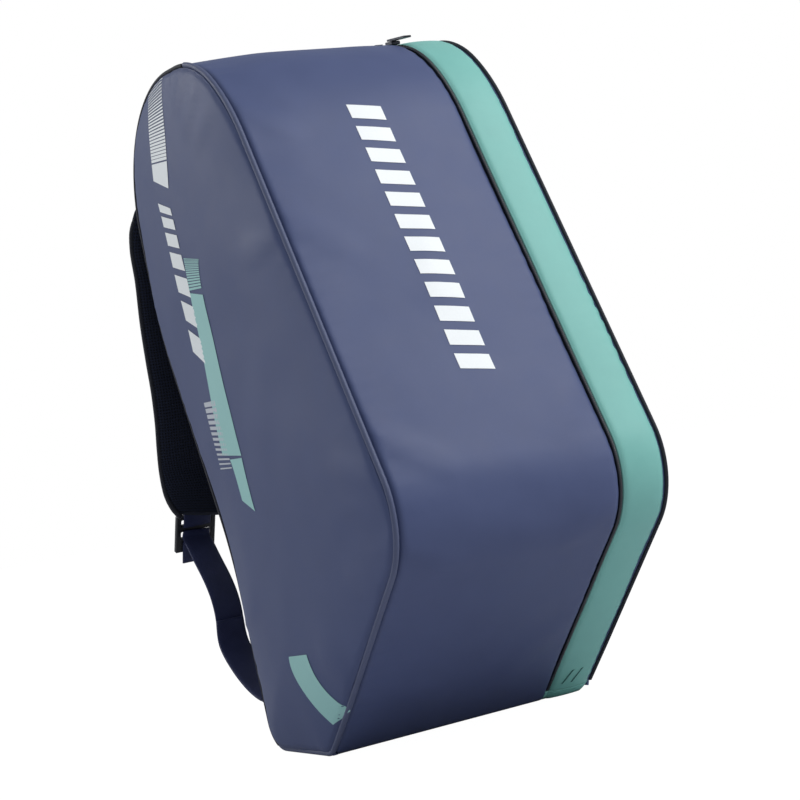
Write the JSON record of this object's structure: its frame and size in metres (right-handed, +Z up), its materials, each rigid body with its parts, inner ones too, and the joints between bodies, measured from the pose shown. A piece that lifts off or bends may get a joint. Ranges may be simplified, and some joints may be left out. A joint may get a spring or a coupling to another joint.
{
  "type": "racket backpack",
  "caption": "Tall flat-faced sports backpack with a racket compartment behind a flat side panel, a bent front, a zipped side door and padded shoulder straps.",
  "frame": {"origin": "on the floor under the bag, at the middle of its flat base", "axes": "+Z up, -Y to the bag's front, +Y to the wearer's back, -X to the racket compartment's side panel, +X to the door"},
  "size_m": [0.232, 0.4086, 0.5364],
  "materials": {
    "navy_fabric": "coated polyester, low sheen",
    "teal_fabric": "coated polyester, low sheen",
    "black_fabric": "matt knitted polyester over foam",
    "webbing": "ribbed polyester webbing",
    "black_plastic": "moulded, satin",
    "slider_metal": "die-cast, black paint"
  },
  "bodies": {
    "bag": {"anchor_patch_left": "webbing", "anchor_patch_right": "webbing", "anchor_tab_left": "webbing", "anchor_tab_right": "webbing", "back_edge_piping": "black_fabric", "back_pad_left": "black_fabric", "back_pad_right": "black_fabric", "back_panel": "black_fabric", "back_stiffener": "black_plastic", "base_board": "black_plastic", "base_panel": "black_fabric", "divider_panel": "black_fabric", "front_board": "black_plastic", "front_padding": "black_fabric", "front_panel": "navy_fabric", "inner_pocket": "black_fabric", "lumbar_pad": "black_fabric", "main_zip_coil": "black_plastic", "main_zip_tape": "black_fabric", "seam_piping_base": "navy_fabric", "seam_piping_upper": "navy_fabric", "side_panel_front": "navy_fabric", "side_sill": "navy_fabric", "side_strip": "navy_fabric", "side_zip_coil": "black_plastic", "side_zip_tape": "black_fabric", "strap_keeper_left": "webbing", "strap_keeper_right": "webbing", "strap_pad_left": "black_fabric", "strap_pad_right": "black_fabric", "strap_tail_left": "webbing", "strap_tail_right": "webbing", "strap_webbing_left": "webbing", "strap_webbing_right": "webbing", "strap_yoke": "black_fabric", "toe_strip": "navy_fabric", "top_panel": "navy_fabric"},
    "racket_flap": {"side_flap": "navy_fabric", "flap_piping": "black_fabric", "flap_edge": "black_fabric", "flap_zip_tape": "black_fabric"},
    "door": {"door_gusset": "teal_fabric", "door_zip_tape": "black_fabric", "door_piping": "black_fabric", "door_panel": "navy_fabric", "door_pocket": "black_fabric"},
    "handle": {"grab_handle": "black_fabric"},
    "lock_left": {"ladder_lock_left": "black_plastic"},
    "lock_right": {"ladder_lock_right": "black_plastic"},
    "front_slider_body": {"front_slider": "slider_metal"},
    "rear_slider_body": {"rear_slider": "slider_metal"},
    "side_slider_body": {"side_slider": "slider_metal"},
    "front_pull_body": {"front_pull": "slider_metal"},
    "rear_pull_body": {"rear_pull": "slider_metal"},
    "side_pull_body": {"side_pull": "slider_metal"}
  },
  "joints": [
    {"name": "door_hinge", "type": "hinge", "parent": "bag", "child": "door", "pos_m": [0.116, 0.04491, 0.00176], "axis": [0, 0.0759, 0.9971], "range_deg": [0, 50]},
    {"name": "flap_hinge", "type": "hinge", "parent": "bag", "child": "racket_flap", "pos_m": [-0.116, 0.04756, 0.00302], "axis": [0, -0.0896, 0.996], "range_deg": [0, 50]},
    {"name": "handle_hinge", "type": "hinge", "parent": "bag", "child": "handle", "pos_m": [0, 0.13279, 0.47438], "axis": [1, 0, 0], "range_deg": [0, 115]},
    {"name": "lock_tip_left", "type": "hinge", "parent": "bag", "child": "lock_left", "pos_m": [-0.088, 0.19, 0.188], "axis": [1, 0, 0], "range_deg": [0, 30]},
    {"name": "lock_tip_right", "type": "hinge", "parent": "bag", "child": "lock_right", "pos_m": [0.088, 0.19, 0.188], "axis": [1, 0, 0], "range_deg": [0, 30]},
    {"name": "front_slider_run", "type": "hinge", "parent": "bag", "child": "front_slider_body", "pos_m": [0.0738, 0.01701, 0.443], "axis": [1, 0, 0], "range_deg": [0, 34]},
    {"name": "rear_slider_run", "type": "hinge", "parent": "bag", "child": "rear_slider_body", "pos_m": [0.0738, 0.03116, 0.425], "axis": [-1, 0, 0], "range_deg": [0, 26]},
    {"name": "side_slider_run", "type": "hinge", "parent": "bag", "child": "side_slider_body", "pos_m": [-0.1047, 0.03116, 0.425], "axis": [1, 0, 0], "range_deg": [-44, 38]},
    {"name": "front_pull_hinge", "type": "hinge", "parent": "front_slider_body", "child": "front_pull_body", "pos_m": [0.0738, 0.00932, 0.53526], "axis": [-1, 0, 0], "range_deg": [0, 150]},
    {"name": "rear_pull_hinge", "type": "hinge", "parent": "rear_slider_body", "child": "rear_pull_body", "pos_m": [0.0738, 0.03012, 0.53556], "axis": [1, 0, 0], "range_deg": [0, 150]},
    {"name": "side_pull_hinge", "type": "hinge", "parent": "side_slider_body", "child": "side_pull_body", "pos_m": [-0.1047, 0.10662, 0.50579], "axis": [1, 0, 0], "range_deg": [0, 150]}
  ]
}
